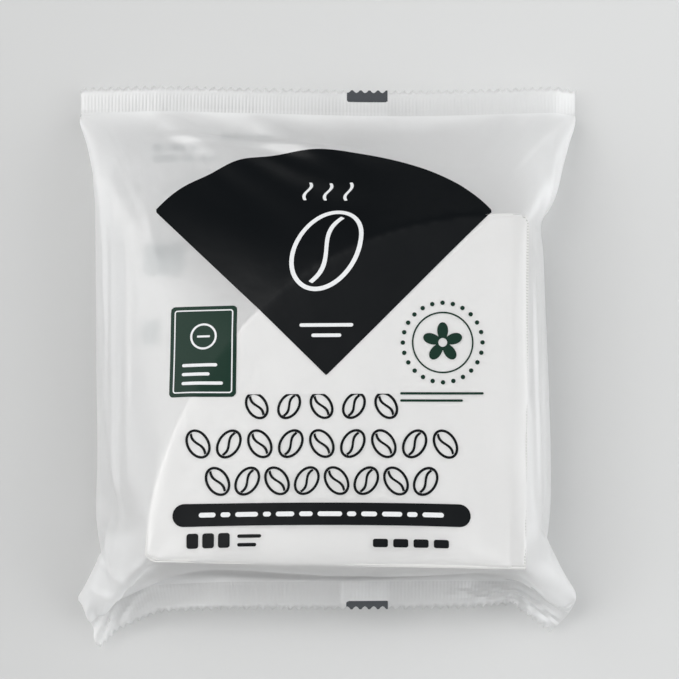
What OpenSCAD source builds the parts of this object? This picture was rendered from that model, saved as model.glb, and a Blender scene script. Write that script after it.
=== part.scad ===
// A sealed clear film pouch that holds a stack of folded cone paper coffee filters.
// The pack lies on its back: X runs across it, Y from the bottom seal to the top seal, Z up.
// Lengths are in millimetres. The origin is under the middle of the pack, at its lowest face.

/* [Filters] */
// Radius of the curved rim of a folded filter, from the cone's point
filter_leg = 119; // [105:1:140]
// Thickness of one ply of the creped paper
paper_t = 0.155; // [0.12:0.005:0.2]
// Number of filters in the pack
filter_count = 100; // [40:1:120]
// Width of the crimped seam, a band along one straight edge beyond the cone's point
seam_w = 5.5; // [5:0.5:10]
// Width of the closed fold along the other straight edge
fold_w = 0.4; // [0.3:0.1:1]
// Distance from one crimp line of the seam to the next
crimp_pitch = 1; // [0.8:0.1:2]
// Depth of a crimp line in the paper
crimp_depth = 0.08; // [0.04:0.01:0.1]
// Bare paper at each side of the crimp lines
crimp_margin = 0.6; // [0.4:0.1:1.5]
// Radius of the two tips of the curved rim
tip_r = 4; // [2:0.5:4.5]
// How far a single filter strays from the others
stray = 0.4; // [0.1:0.1:0.8]
// Turn of a single filter against the others, in degrees
stray_turn = 0.2; // [0:0.1:0.4]
// Turn of the whole stack in the pouch, in degrees
stack_turn = -1.2; // [-2:0.1:2]

/* [Pouch] */
// Thickness of the film
film_t = 0.05; // [0.03:0.01:0.08]
// Flat film between the stack's tip and the left edge
left_room = 27.2; // [25:0.1:45]
// Flat film between the stack's seam side and the right edge
right_room = 22.3; // [21:0.1:30]
// Film from the stack's folded edge down to the lowest corner
bottom_room = 25; // [23:0.5:32]
// Film from the stack's upper tip to the top cut
top_room = 50.6; // [43:0.2:70]
// Free space round the stack
play = 1.6; // [1.5:0.1:2.5]
// How far the thick stack draws the left edge in
left_pull = 8; // [4:0.5:11]
// How far the thick stack draws the right edge in
right_pull = 12; // [6:0.5:14]
// Height at which the two long edges are folded
side_z = 11; // [6:0.5:14]

/* [Seals] */
// Width of the crimped band at each end
seal_w = 10; // [7:0.5:12]
// Distance from the stack's folded edge to the bottom seal
seal_gap = 4; // [3.5:0.25:6]
// Height of the bottom seal, where the stack lifts it
bottom_seal_z = 14; // [9:0.5:18]
// Height of the top seal
top_seal_z = 9.5; // [6:0.5:14]
// Height of the four corners
ear_z = 4; // [2:0.5:6]
// How far the lower right corner hangs below the middle of the bottom seal
right_ear = 6.5; // [3:0.5:9]
// Height of a tooth of the serrated cut
tooth_h = 1.2; // [0.6:0.1:2]
// Width of the back seam, which is folded flat
fin_w = 15; // [10:0.5:18]
// Distance from the pouch's centre line to the root of the back seam
fin_x = 7; // [2:0.5:12]
// Depth of the gathers at the corners
pleat_h = 1.2; // [0:0.1:2]
// Length of film that a corner gathers along the seals
corner_w = 34; // [24:1:44]
// Length of film that a corner gathers along the long edges
corner_len = 24; // [20:1:34]
// Distance from the top seal down to where the right edge turns in
shoulder_drop = 9; // [4:1:14]
// Length over which the two long edges turn in below the top seal
shoulder_len = 33; // [20:1:40]

/* [Hidden] */
count_per_bundle = 9;
bundle_count = ceil((filter_count - 1) / count_per_bundle);
function two_digits(n) = str(n < 10 ? "0" : "", n);
BUNDLES = [for (b = [1:bundle_count]) str("filter_bundle_", two_digits(b))];

paper_white = [0.93, 0.92, 0.90];
film_clear = [0.86, 0.88, 0.89, 0.45];
$fn = 96;

// The open pocket between the two plies, and the air between two filters
pocket_gap = 0.02;
leaf_gap = 0.02;
filter_t = 2 * paper_t + pocket_gap;
filter_pitch = filter_t + leaf_gap;
stack_h = filter_count * filter_pitch;

stack_w = filter_leg + seam_w;
pouch_w = left_room + stack_w + right_room;
pouch_l = bottom_room + filter_leg + top_room;
fin_t = 2 * film_t;
lay_gap = 0.05;
stack_z = fin_t + film_t + lay_gap;
roof_z = stack_z + stack_h + lay_gap + film_t;

// The corner of the folded filters where the fold meets the seam's outer edge
point_x = pouch_w / 2 - right_room;
point_y = bottom_room - pouch_l / 2;

// Columns across the pouch, rows along it, and rings between the stack's edge and the pouch's edge
cols = 30;
rows = 30;
rings = 8;
teeth_per_col = 2;
spokes = 2 * cols + 2 * rows;
body_l = pouch_l - 2 * seal_w;

function mix(a, b, t) = a + (b - a) * t;
function ease(lo, hi, x) = let (t = min(max((x - lo) / (hi - lo), 0), 1)) t * t * (3 - 2 * t);
function near_end(f) = min(f, 1 - f);
function turned(p) =
    let (d = p - [point_x, point_y], c = cos(stack_turn), s = sin(stack_turn))
    [point_x + d.x * c - d.y * s, point_y + d.x * s + d.y * c];
function at_height(p, z) = [p.x, p.y, z];

// Edges of the pouch: v is 0 at the bottom seal's inner line and 1 at the top one's, u runs from
// the left edge to the right edge
function seal_mid(u) = ease(0, corner_w, pouch_w * near_end(u));
function side_mid(v) = ease(0, corner_len, body_l * near_end(v));
left_ear = bottom_room - seal_gap - seal_w;
function bottom_y(u) =
    point_y - seal_gap - (1 - seal_mid(u)) * (u < 0.5 ? left_ear : right_ear);
top_y = pouch_l / 2 - seal_w;
foot_y = point_y - play - film_t;
function row_y(u, j) =
    j == 0 ? bottom_y(u) : mix(foot_y, top_y, (j - 1) / (rows - 1));
function left_x(v) =
    -pouch_w / 2 + left_pull * ease(0, shoulder_len, body_l * (1 - v))
                   * (0.5 + 0.5 * ease(0, corner_len, body_l * v));
function right_x(v) =
    let (d = body_l * (1 - v))
    pouch_w / 2 - right_pull * ease(shoulder_drop, shoulder_drop + shoulder_len, d)
                * (0.3 + 0.7 * ease(0, corner_len, body_l * v));
function bottom_z(u) = mix(ear_z, bottom_seal_z, seal_mid(u));
function top_z(u) = mix(ear_z, top_seal_z, seal_mid(u));
function edge_z(v) = mix(ear_z, side_z, side_mid(v));

// Lower film: it lies flat under the stack and rises to the four edges
left_rise = 1.6 / cols;
right_rise = 1 / cols;
top_rise = 2 / rows;
function fall(x) = pow(1 - min(x, 1), 2);
function back_z(u, j) =
    let (v = j / rows)
    max(j == 0 ? bottom_z(u) : 0, top_z(u) * fall((1 - v) / top_rise),
        edge_z(v) * fall(u / left_rise), edge_z(v) * fall((1 - u) / right_rise));
function back_at(u, j) =
    [mix(left_x(j / rows), right_x(j / rows), u), row_y(u, j), fin_t + back_z(u, j)];
function drawn_in(p, u, v) = p + film_t * [1 - 2 * u, 1 - 2 * v, 1];

// The edge of the pouch is walked counter-clockwise from the lower left corner
function side_of(k) =
    k < cols ? 0 : k < cols + rows ? 1 : k < 2 * cols + rows ? 2 : 3;
function share_of(k) =
    let (s = side_of(k))
    s == 0 ? k / cols : s == 1 ? (k - cols) / rows
    : s == 2 ? (k - cols - rows) / cols : (k - 2 * cols - rows) / rows;
function col_of(k) =
    let (s = side_of(k), f = share_of(k))
    s == 0 ? round(f * cols) : s == 1 ? cols : s == 2 ? round((1 - f) * cols) : 0;
function row_of(k) =
    let (s = side_of(k), f = share_of(k))
    s == 0 ? 0 : s == 1 ? round(f * rows) : s == 2 ? rows : round((1 - f) * rows);
function is_seal(k) = side_of(k) % 2 == 0;
function rim_at(k) = back_at(col_of(k) / cols, row_of(k));

// Edge of the stack's top, kept clear of the paper
function stack_edge(k) =
    let (o = play + film_t, r = filter_leg + o, cone_x = point_x - seam_w,
         s = side_of(k), f = share_of(k))
    turned(
        s == 0 ? [mix(cone_x - r, point_x + o, f), point_y - o]
        : s == 1 ? [point_x + o, mix(point_y - o, point_y + r, f)]
        : s == 2 ? (f == 0 ? [point_x + o, point_y + r]
                           : [cone_x + r * cos(90 + 45 * f), point_y + r * sin(90 + 45 * f)])
        : [cone_x + r * cos(135 + 45 * f), point_y + r * sin(135 + 45 * f)]);

// Upper film: it falls straight from the stack's edge to the seals, bulges round to the two long
// edges, and is gathered at the corners; the rings lie closer together towards the edge
corner_bulge = 0.5;
ring_crowding = 1.6;
function bulge(k) =
    is_seal(k) ? corner_bulge * (1 - ease(0, corner_len, pouch_w * near_end(share_of(k))))
               : mix(corner_bulge, 1, ease(0, corner_len, body_l * near_end(share_of(k))));
function front_at(k, j) =
    let (a = stack_edge(k), rim = rim_at(k), t = 1 - pow(1 - j / rings, ring_crowding),
         p = mix(a, [rim.x, rim.y], t),
         drop = mix(t, 1 - sqrt(1 - t), bulge(k)),
         reach = is_seal(k) ? near_end(share_of(k)) * pouch_w / corner_w
                            : near_end(share_of(k)) * body_l / corner_len,
         gather = pleat_h * (k % 2 == 0 ? 1 : -1) * pow(4 * t * (1 - t), 2) * max(1 - reach, 0))
    at_height(p, mix(roof_z, rim.z + film_t, drop) + gather);
front = [for (j = [0:rings]) [for (k = [0:spokes - 1]) front_at(k, j)]];
function lining_at(k, j) =
    let (p = front[j][k], out = front[j + 1][k] - p,
         across = front[j][(k + 1) % spokes] - front[j][(k + spokes - 1) % spokes],
         n = cross(across, j == 0 ? out : out + p - front[j - 1][k]))
    j == 0 ? p - film_t * [out.x, out.y, norm([out.x, out.y])] / norm([out.x, out.y])
           : p + film_t * n / norm(n);

// Cut edge of the two seals; along the sides it is the narrow crease of the fold
crease = 0.6;
seal_droop = 0.8;
function cut_at(k) =
    let (rim = rim_at(k), u = col_of(k) / cols, v = row_of(k) / rows,
         at_end = v == 0 || v == 1)
    [rim.x + (u == 0 ? -crease : u == 1 ? crease : 0),
     rim.y + (v == 0 ? -seal_w : v == 1 ? seal_w : 0),
     rim.z - (at_end ? seal_droop : 0)];
function cut_step(k, n) =
    let (a = cut_at(k), b = cut_at((k + 1) % spokes), out = side_of(k) == 0 ? -1 : 1)
    mix(a, b, n / (2 * teeth_per_col)) + [0, n % 2 == 1 ? out * tooth_h : 0, 0];
cut_steps = 2 * teeth_per_col - 1;
seal_spokes = [for (k = [0:spokes - 1]) if (is_seal(k)) k];
function seal_rank(k) = k < cols ? k : k - rows;

// Points of the outside: lower film, upper film, then the two faces of the cut edge
function flat_list(lists) = [for (l = lists) each l];
upper_base = (cols + 1) * (rows + 1);
cut_base = upper_base + (rings + 1) * spokes;
tooth_base = cut_base + 2 * spokes;
tooth_count = len(seal_spokes) * cut_steps;
outer_points = concat(
    flat_list([for (j = [0:rows]) [for (i = [0:cols]) back_at(i / cols, j)
        - [0, 0, is_edge(i, j) ? film_t : 0]]]),
    flat_list(front),
    [for (k = [0:spokes - 1]) cut_at(k) + [0, 0, film_t]],
    [for (k = [0:spokes - 1]) cut_at(k) - [0, 0, film_t]],
    [for (k = seal_spokes) for (n = [1:cut_steps]) cut_step(k, n) + [0, 0, film_t]],
    [for (k = seal_spokes) for (n = [1:cut_steps]) cut_step(k, n) - [0, 0, film_t]]);
function is_edge(i, j) = i == 0 || i == cols || j == 0 || j == rows;
function lower_id(i, j) = j * (cols + 1) + i;
function upper_id(k, j) = upper_base + j * spokes + k % spokes;
function rim_id(k) = lower_id(col_of(k % spokes), row_of(k % spokes));
function cut_id(k, below) = cut_base + (below ? spokes : 0) + k % spokes;
function tooth_id(k, n, below) =
    n == 0 ? cut_id(k, below)
    : n == cut_steps + 1 ? cut_id(k + 1, below)
    : tooth_base + (below ? tooth_count : 0) + seal_rank(k) * cut_steps + n - 1;

// Faces are given counter-clockwise seen from outside, and turned over for the solid
function flipped(faces) = [for (f = faces) [for (i = [len(f) - 1:-1:0]) f[i]]];
function strip(a, b, c, d) = [[a, b, c], [a, c, d]];
function band(k, below) =
    let (p = below ? rim_id(k) : upper_id(k, rings),
         q = below ? rim_id(k + 1) : upper_id(k + 1, rings))
    is_seal(k)
    ? concat([for (n = [0:teeth_per_col - 1]) [tooth_id(k, n, below), tooth_id(k, n + 1, below), p]],
             [[tooth_id(k, teeth_per_col, below), q, p]],
             [for (n = [teeth_per_col:cut_steps])
                 [tooth_id(k, n, below), tooth_id(k, n + 1, below), q]])
    : share_of(k) < 0.5 ? strip(cut_id(k + 1, below), q, p, cut_id(k, below))
    : strip(cut_id(k, below), cut_id(k + 1, below), q, p);
function edge_faces(k) =
    is_seal(k)
    ? flat_list([for (n = [0:cut_steps])
        strip(tooth_id(k, n, true), tooth_id(k, n + 1, true),
              tooth_id(k, n + 1, false), tooth_id(k, n, false))])
    : strip(cut_id(k, true), cut_id(k + 1, true), cut_id(k + 1, false), cut_id(k, false));
function upper_faces(last) = concat(
    [[for (k = [0:spokes - 1]) upper_id(k, 0)]],
    flat_list([for (j = [0:last - 1]) for (k = [0:spokes - 1])
        strip(upper_id(k, j + 1), upper_id(k + 1, j + 1), upper_id(k + 1, j), upper_id(k, j))]));
function lower_faces() = flat_list([for (j = [0:rows - 1]) for (i = [0:cols - 1])
    strip(lower_id(i, j), lower_id(i, j + 1), lower_id(i + 1, j + 1), lower_id(i + 1, j))]);
outer_faces = concat(
    upper_faces(rings), lower_faces(),
    flat_list([for (k = [0:spokes - 1]) concat(band(k, false), flipped(band(k, true)), edge_faces(k))]));

// The hollow: the same rings and rows one film thickness in, joined at the rim
lining_points = concat(
    flat_list([for (j = [0:rows]) [for (i = [0:cols])
        drawn_in(back_at(i / cols, j), i / cols, j / rows) - [0, 0, is_edge(i, j) ? film_t : 0]]]),
    flat_list([for (j = [0:rings - 1]) [for (k = [0:spokes - 1]) lining_at(k, j)]]));
lining_faces = concat(
    upper_faces(rings - 1), lower_faces(),
    flat_list([for (k = [0:spokes - 1])
        strip(rim_id(k), rim_id(k + 1), upper_id(k + 1, rings - 1), upper_id(k, rings - 1))]));

// The whole model is set over its own middle
low = [for (a = [0:1]) min([for (p = outer_points) p[a]])];
high = [for (a = [0:1]) max([for (p = outer_points) p[a]])];
module in_place() translate([-(low.x + high.x) / 2, -(low.y + high.y) / 2, 0]) children();

// Back seam: two layers of film along the whole pouch, folded flat against the back
fin_share = [for (x = [fin_x, fin_x + fin_w]) (x + pouch_w / 2) / pouch_w];
function fin_row(j) = min(max(j, 0), rows);
function fin_at(x, j, drop) =
    let (p = back_at(0.5, fin_row(j)), v = fin_row(j) / rows,
         past = j < 0 ? -seal_w : j > rows ? seal_w : 0,
         end = j <= 0 || j >= rows)
    [x, p.y + past + (end ? 0 : drop * (2 * v - 1)),
     p.z - (past != 0 ? seal_droop : 0) - (end ? film_t : 0) - drop];
fin_rows = rows + 2;
fin_points = flat_list([for (drop = [fin_t, -film_t / 2]) for (x = [fin_x, fin_x + fin_w])
    [for (j = [-1:rows + 1]) fin_at(x, j, drop)]]);
function fin_id(layer, side, j) = (2 * layer + side) * (fin_rows + 1) + j;
fin_faces = concat(
    flat_list([for (j = [0:fin_rows - 1]) concat(
        strip(fin_id(0, 0, j), fin_id(0, 0, j + 1), fin_id(0, 1, j + 1), fin_id(0, 1, j)),
        strip(fin_id(1, 0, j), fin_id(1, 1, j), fin_id(1, 1, j + 1), fin_id(1, 0, j + 1)),
        strip(fin_id(0, 1, j), fin_id(0, 1, j + 1), fin_id(1, 1, j + 1), fin_id(1, 1, j)),
        strip(fin_id(0, 0, j + 1), fin_id(0, 0, j), fin_id(1, 0, j), fin_id(1, 0, j + 1)))]),
    strip(fin_id(0, 0, 0), fin_id(0, 1, 0), fin_id(1, 1, 0), fin_id(1, 0, 0)),
    strip(fin_id(0, 1, fin_rows), fin_id(0, 0, fin_rows), fin_id(1, 0, fin_rows), fin_id(1, 1, fin_rows)));

module film_pouch()
    color(film_clear)
        difference() {
            union() {
                polyhedron(outer_points, flipped(outer_faces), convexity = 6);
                polyhedron(fin_points, flipped(fin_faces), convexity = 4);
            }
            polyhedron(lining_points, flipped(lining_faces), convexity = 6);
        }

// Outline of a folded filter: a quarter disc round the cone's point with a rounded tip, and the
// seam's band beside it with a rounded upper corner
tip_reach = sqrt(pow(filter_leg - tip_r, 2) - pow(tip_r, 2));
module filter_outline() {
    far = 2 * filter_leg / tip_reach;
    translate([-seam_w, 0]) {
        intersection() {
            circle(filter_leg);
            polygon([[0, 0], far * [0, tip_reach], far * [-tip_reach, tip_reach], far * [-tip_reach, tip_r]]);
        }
        polygon([[0, 0], [-tip_reach, tip_r], [-tip_reach, 0]]);
        translate([-tip_reach, tip_r]) circle(tip_r, $fn = 48);
        square([seam_w, filter_leg - tip_r]);
        square([seam_w - tip_r, filter_leg]);
    }
    translate([-tip_r, filter_leg - tip_r]) circle(tip_r, $fn = 48);
}

// A filter folded flat: two plies, closed by the fold and the seam and open along the rim
module folded_filter()
    difference() {
        linear_extrude(filter_t) filter_outline();
        translate([-2 * stack_w, fold_w, paper_t])
            cube([2 * stack_w - seam_w, 2 * stack_w, pocket_gap]);
    }

// Crimp lines: a row of small grooves across the seam
module crimp_lines() {
    lines = floor((filter_leg - tip_r - 2 * crimp_margin) / crimp_pitch);
    translate([-crimp_margin, 0, filter_t])
        rotate([90, 0, -90])
            linear_extrude(seam_w - 2 * crimp_margin)
                for (i = [0:lines - 1])
                    translate([-crimp_margin - i * crimp_pitch, 0])
                        polygon([[-crimp_pitch / 4, 1], [-crimp_pitch / 4, 0], [0, -crimp_depth],
                                 [crimp_pitch / 4, 0], [crimp_pitch / 4, 1]]);
}

// Places filter number n, counted from the bottom, with its own small stray
stray_step = [137, 79, 211];
module laid_in_stack(n)
    in_place()
        translate([point_x, point_y, stack_z + (n - 1) * filter_pitch])
            rotate(stack_turn + stray_turn * sin(n * stray_step[2]))
                translate(stray * [sin(n * stray_step[0]), sin(n * stray_step[1]), 0])
                    children();

module top_filter()
    color(paper_white)
        laid_in_stack(filter_count)
            difference() {
                folded_filter();
                crimp_lines();
            }

module filter_bundle(b)
    color(paper_white)
        for (n = [(b - 1) * count_per_bundle + 1:min(b * count_per_bundle, filter_count - 1)])
            laid_in_stack(n) folded_filter();

in_place() film_pouch();
top_filter();
for (b = [1:bundle_count])
    filter_bundle(b);
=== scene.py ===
"""A sealed film pack of cone paper coffee filters, dressed for a still picture.

The pouch is a flat tube of film that is settled round the stack of filters, with its end seals, its
back seam and its print. Lengths inside the settling are in millimetres, Blender's are in metres.
"""

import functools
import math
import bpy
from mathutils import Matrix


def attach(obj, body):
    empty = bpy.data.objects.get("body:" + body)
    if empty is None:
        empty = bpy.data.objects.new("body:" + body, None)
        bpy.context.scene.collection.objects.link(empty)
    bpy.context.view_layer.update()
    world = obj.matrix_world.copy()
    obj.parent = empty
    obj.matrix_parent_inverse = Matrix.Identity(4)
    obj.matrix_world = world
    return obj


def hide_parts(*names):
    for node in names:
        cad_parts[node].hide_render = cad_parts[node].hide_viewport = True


bl_info = {
    "name": "Coffee filter pack",
    "version": (1, 0, 0),
    "blender": (4, 5, 0),
    "location": "View3D > Sidebar > Filter pack",
    "description": "Builds a film pouch of cone paper coffee filters with its print, paper and stage",
    "category": "Object",
}

import bpy
import numpy as np
from bpy.props import FloatProperty, FloatVectorProperty, IntProperty, PointerProperty
from mathutils import Vector

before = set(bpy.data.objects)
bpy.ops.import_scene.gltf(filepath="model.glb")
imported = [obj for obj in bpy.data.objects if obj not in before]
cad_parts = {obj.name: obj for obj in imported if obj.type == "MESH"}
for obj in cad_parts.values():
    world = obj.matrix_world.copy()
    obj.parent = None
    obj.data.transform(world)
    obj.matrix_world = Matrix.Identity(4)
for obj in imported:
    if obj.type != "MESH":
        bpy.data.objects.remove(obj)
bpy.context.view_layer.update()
MM = 0.001

# The stack of filters: its corner between fold and seam, the turn of the whole stack, the radius of
# the rim round the cone's point, the seam's band beyond that point, the radius of the tips, the top
# and the lines that are crimped across the seam
STACK_CORNER = (64.7, -72.3)
STACK_TURN = math.radians(-1.2)
RIM_RADIUS = 119.0
SEAM_BAND = 5.5
TIP_RADIUS = 4.0
STACK_TOP = 35.18
CRIMP_PITCH = 1.0
CRIMP_START = 0.6

# Where the two end seals run: flat place across the film, then x, y, z of the cut edge and of the
# inner edge of the seal
TOP_SEAL_RUN = (
    (-87.6, -87.5, 98.2, 5.0, -87.0, 88.4, 6.0),
    (-60.0, -59.8, 98.2, 8.0, -59.8, 88.4, 9.0),
    (-20.0, -20.0, 96.8, 9.5, -20.0, 87.0, 10.5),
    (12.0, 12.0, 95.8, 10.0, 12.0, 86.0, 11.0),
    (36.0, 36.0, 95.8, 10.0, 36.0, 86.0, 11.0),
    (62.0, 61.8, 96.8, 9.0, 61.8, 87.0, 10.0),
    (80.0, 79.4, 97.6, 9.0, 79.4, 87.8, 9.0),
    (87.6, 87.2, 97.0, 6.0, 86.8, 87.2, 6.0),
)
LOW_SEAL_RUN = (
    (-87.6, -78.2, -96.6, 4.0, -79.4, -87.0, 5.0),
    (-76.0, -71.8, -90.0, 5.5, -73.4, -81.2, 8.0),
    (-60.0, -57.6, -84.0, 10.0, -59.8, -75.2, 11.5),
    (-35.0, -34.0, -83.3, 15.0, -34.2, -74.6, 16.0),
    (10.0, 9.6, -83.3, 15.5, 9.6, -74.6, 16.5),
    (45.0, 43.8, -82.9, 15.0, 44.0, -74.4, 16.0),
    (66.0, 62.4, -81.4, 11.0, 64.8, -74.5, 12.0),
    (87.6, 75.6, -90.2, 4.5, 82.0, -85.0, 6.0),
)

# Soft folds of the front film: flat place of one end and of the other, height and half width
FRONT_FOLDS = (
    (-80.0, 84.0, -78.0, -20.0, 0.7, 1.8),
    (-74.0, 60.0, -76.0, -66.0, 0.55, 1.6),
    (-84.0, 20.0, -70.0, -80.0, 0.6, 2.0),
    (-69.0, 40.0, -68.0, -44.0, 0.4, 1.5),
    (-66.0, 84.0, -56.0, 20.0, 0.5, 2.4),
    (-80.0, 88.0, -62.0, 50.0, 0.45, 1.7),
    (78.0, 84.0, 76.0, -10.0, 0.8, 1.6),
    (72.5, 52.0, 73.5, -64.0, 0.9, 1.5),
    (81.0, 30.0, 77.0, -80.0, 0.8, 1.7),
    (60.0, 56.0, 84.0, 90.0, 0.6, 2.0),
    (44.0, 58.0, 66.0, 88.0, 0.5, 2.4),
    (30.0, 72.0, 62.0, 62.0, 0.45, 2.2),
    (-66.0, 83.5, 28.0, 78.5, 0.8, 1.1),
    (-84.0, -66.0, -58.0, -84.0, 0.6, 1.4),
    (-86.0, -78.0, -64.0, -88.0, 0.5, 1.2),
    (-80.0, -50.0, -70.0, -86.0, 0.5, 1.2),
    (-40.0, 84.0, 8.0, 76.0, 0.4, 2.4),
)
# The welded layers of a seal stand this far from their middle. The ribs leave a plain strip at the
# cut and at the inner edge of the seal
HALF_SEAL = 0.03
PLAIN_AT_CUT = 1.4
PLAIN_INSIDE = 0.4
# Middle of the badge on the front, and the angle from one of its dots to the next
BADGE_MIDDLE = (38.35, 2.6)
DOT_ANGLE = math.radians(15)
# Half the size of the floor in the stage, in metres
FLOOR_HALF = 1.5


# sizes and colours that a user may change


class PouchSizes(bpy.types.PropertyGroup):
    """Sizes of the film pouch, laid flat."""

    flat_width: FloatProperty(
        name="Flat width", description="Width of the empty film tube", default=0.1752, unit="LENGTH"
    )
    flat_length: FloatProperty(
        name="Flat length", description="Length of the film from cut to cut", default=0.203, unit="LENGTH"
    )
    seal_width: FloatProperty(
        name="Seal width", description="Width of the crimped band at each end", default=0.0096, unit="LENGTH"
    )
    tooth_height: FloatProperty(
        name="Tooth height", description="Height of the teeth of the cut", default=0.0011, unit="LENGTH"
    )
    tooth_columns: IntProperty(
        name="Columns per tooth", description="Film columns that one tooth of the cut takes", default=5, min=3
    )
    crimp_depth: FloatProperty(
        name="Crimp depth", description="Height of a crimp rib in the seals", default=0.00005, unit="LENGTH"
    )
    seam_from: FloatProperty(
        name="Back seam start",
        description="Place of the back seam's root across the pack",
        default=0.004,
        unit="LENGTH",
    )
    seam_width: FloatProperty(
        name="Back seam width", description="Width of the folded back seam", default=0.017, unit="LENGTH"
    )
    air: FloatProperty(
        name="Air",
        description="Push of the air that is sealed in, in millimetres over a step of the settling",
        default=0.0003,
        min=0,
        precision=5,
    )
    steps: IntProperty(
        name="Settling steps",
        description="Steps of the coarse settling while the stack grows",
        default=1400,
        min=50,
    )


class PrintLook(bpy.types.PropertyGroup):
    """Sizes and colours of the generic print on the front."""

    fan_radius: FloatProperty(
        name="Fan radius", description="Radius of the black fan at its middle", default=0.088, unit="LENGTH"
    )
    fan_point: FloatVectorProperty(
        name="Fan point",
        description="Place of the fan's point on the front",
        size=2,
        default=(-0.00065, -0.0084),
        unit="LENGTH",
    )
    black: FloatVectorProperty(
        name="Black ink",
        description="Colour of the fan and the lines",
        subtype="COLOR",
        size=3,
        default=(0.003, 0.004, 0.005),
    )
    green: FloatVectorProperty(
        name="Green ink",
        description="Colour of the label and the badge",
        subtype="COLOR",
        size=3,
        default=(0.006, 0.027, 0.017),
    )
    pale: FloatVectorProperty(
        name="Pale ink",
        description="Colour of the marks inside the dark fields",
        subtype="COLOR",
        size=3,
        default=(0.72, 0.73, 0.74),
    )
    lift: FloatProperty(
        name="Ink lift", description="Height of the ink over the film", default=0.00009, unit="LENGTH"
    )


class PaperLook(bpy.types.PropertyGroup):
    """Look of the filter paper and of the film."""

    paper: FloatVectorProperty(
        name="Paper",
        description="Colour of the filter paper",
        subtype="COLOR",
        size=3,
        default=(0.67, 0.665, 0.655),
    )
    crepe: FloatProperty(
        name="Crepe", description="Strength of the paper's crepe", default=0.25, min=0, max=1
    )
    blur: FloatProperty(
        name="Blur", description="Share of the clear light that the film blurs", default=0.7, min=0, max=1
    )
    haze: FloatProperty(
        name="Haze", description="Share of the light that the film scatters", default=0.55, min=0, max=1
    )
    seal_haze: FloatProperty(
        name="Seal haze", description="The same share in the welded seals", default=0.16, min=0, max=1
    )


class StageLook(bpy.types.PropertyGroup):
    """Camera, floor and light."""

    elevation: FloatProperty(
        name="Elevation",
        description="Camera's angle above the floor",
        default=math.radians(80),
        subtype="ANGLE",
    )
    distance: FloatProperty(
        name="Distance",
        description="Distance from the camera to the point it looks at",
        default=0.8,
        unit="LENGTH",
    )
    look_at: FloatVectorProperty(
        name="Look at",
        description="Point in the middle of the picture",
        size=3,
        default=(0.00385, 0.0068, 0.0175),
        unit="LENGTH",
    )
    lens: FloatProperty(name="Lens", description="Focal length of the camera in millimetres", default=124.5)
    floor: FloatVectorProperty(
        name="Floor",
        description="Colour of the floor",
        subtype="COLOR",
        size=3,
        default=(0.6, 0.604, 0.602),
    )
    room: FloatProperty(
        name="Room light", description="Strength of the light from all round", default=0.452, min=0
    )
    left_wall: FloatProperty(
        name="Left wall", description="Strength of the light from the left", default=2.1, min=0
    )
    right_wall: FloatProperty(
        name="Right wall", description="Strength of the light from the right", default=3.0, min=0
    )
    left_box: FloatProperty(
        name="Left box", description="Brightness of the soft box at the left", default=2.15, min=0
    )
    right_box: FloatProperty(
        name="Right box", description="Brightness of the soft box at the right", default=1.0, min=0
    )


# settling of the film


def stack_distance(x, y, spread):
    """Distance to the stack's outline, less than nought inside, with the way out as x and y."""
    c, s = math.cos(-STACK_TURN), math.sin(-STACK_TURN)
    across = (x - STACK_CORNER[0]) * c - (y - STACK_CORNER[1]) * s
    along = (x - STACK_CORNER[0]) * s + (y - STACK_CORNER[1]) * c
    u = np.minimum(across + SEAM_BAND, 0.0)
    r = np.hypot(u, along) + 1e-9
    rim = r - RIM_RADIUS
    low = -along
    d = np.maximum(np.maximum(rim, across), low)
    on_rim = rim >= np.maximum(across, low)
    on_side = across >= low
    gu = np.where(on_rim, u / r, np.where(on_side, 1.0, 0.0))
    gv = np.where(on_rim, along / r, np.where(on_side, 0.0, -1.0))
    e = rim + TIP_RADIUS
    for p, pu, pv in ((across + TIP_RADIUS, 1.0, 0.0), (low + TIP_RADIUS, 0.0, -1.0)):
        m = np.hypot(np.maximum(p, 0), np.maximum(e, 0)) + 1e-9
        use = (p > 0) & (e > 0) & (m - TIP_RADIUS > d)
        d = np.where(use, m - TIP_RADIUS, d)
        gu = np.where(use, (p * pu + e * u / r) / m, gu)
        gv = np.where(use, (p * pv + e * along / r) / m, gv)
    n = np.hypot(gu, gv) + 1e-9
    gu, gv = gu / n, gv / n
    return d - spread, gu * c + gv * s, gv * c - gu * s


def draw_together(a, b, rest, pull, push):
    """Moves two sets of film points to their flat distance; push is less than 1 where film buckles."""
    d = b - a
    length = np.sqrt((d * d).sum(-1, keepdims=True)) + 1e-9
    c = (length - rest) / length
    d *= 0.5 * np.where(c < 0, c * push, c * pull)
    a += d
    b -= d


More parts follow.
